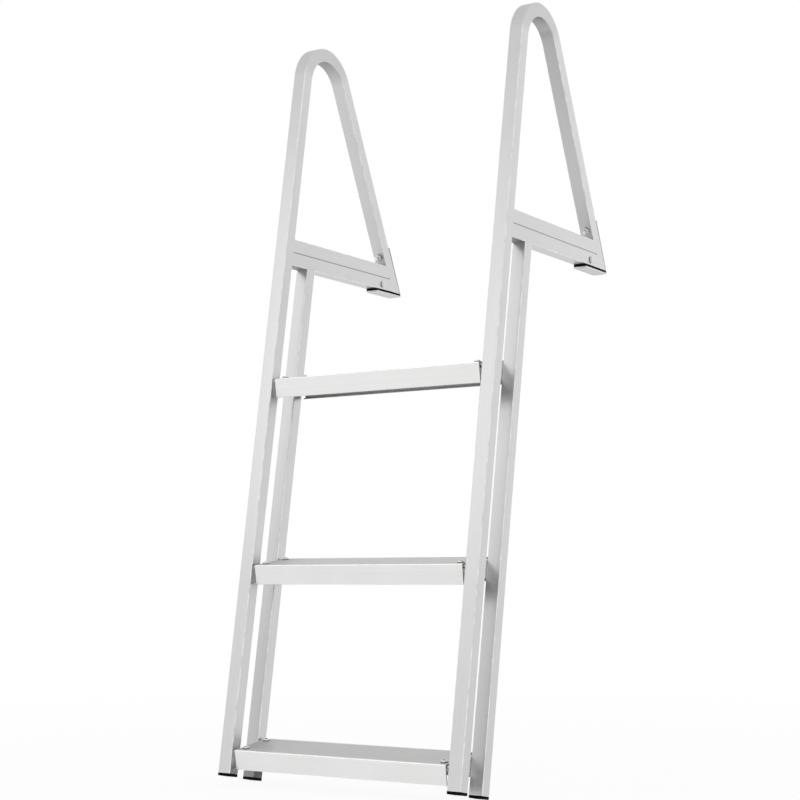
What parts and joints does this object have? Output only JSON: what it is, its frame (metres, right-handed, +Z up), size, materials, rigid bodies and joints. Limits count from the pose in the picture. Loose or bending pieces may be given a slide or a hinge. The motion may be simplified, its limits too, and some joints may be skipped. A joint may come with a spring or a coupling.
{
  "type": "boarding ladder",
  "caption": "Aluminium boarding ladder with flat ribbed treads between square-tube side frames, hand loops, level deck arms and bent deck plates.",
  "frame": {"origin": "middle of the flat underside of the left deck plate", "axes": "+X across the ladder from the left frame to the right one as a climber in the water sees it, +Y towards the deck, +Z up; the deck arms are level and the rails lean 11 degrees back towards the deck"},
  "size_m": [0.4868, 0.6127, 1.3966],
  "materials": {
    "aluminium": "satin, lightly drawn along the tube",
    "tread_aluminium": "satin, ribbed on top",
    "rubber": "matt black",
    "cap_plastic": "matt black",
    "bolt_steel": "bright, plain"
  },
  "bodies": {
    "root": {"left_handrail": "aluminium", "left_rear_rail": "aluminium", "left_arm_upper": "aluminium", "left_arm_lower": "aluminium", "left_deck_plate": "aluminium", "left_deck_pad": "rubber", "left_front_foot_cap": "cap_plastic", "left_rear_foot_cap": "cap_plastic", "left_leg_bolt": "bolt_steel", "left_arm_bolt": "bolt_steel", "right_handrail": "aluminium", "right_rear_rail": "aluminium", "right_arm_upper": "aluminium", "right_arm_lower": "aluminium", "right_deck_plate": "aluminium", "right_deck_pad": "rubber", "right_front_foot_cap": "cap_plastic", "right_rear_foot_cap": "cap_plastic", "right_leg_bolt": "bolt_steel", "right_arm_bolt": "bolt_steel", "bottom_tread": "tread_aluminium", "bottom_tread_bolts": "bolt_steel", "bottom_tread_left_clip": "aluminium", "bottom_tread_right_clip": "aluminium", "middle_tread": "tread_aluminium", "middle_tread_bolts": "bolt_steel", "middle_tread_left_clip": "aluminium", "middle_tread_right_clip": "aluminium", "top_tread": "tread_aluminium", "top_tread_bolts": "bolt_steel", "top_tread_left_clip": "aluminium", "top_tread_right_clip": "aluminium"}
  },
  "joints": []
}
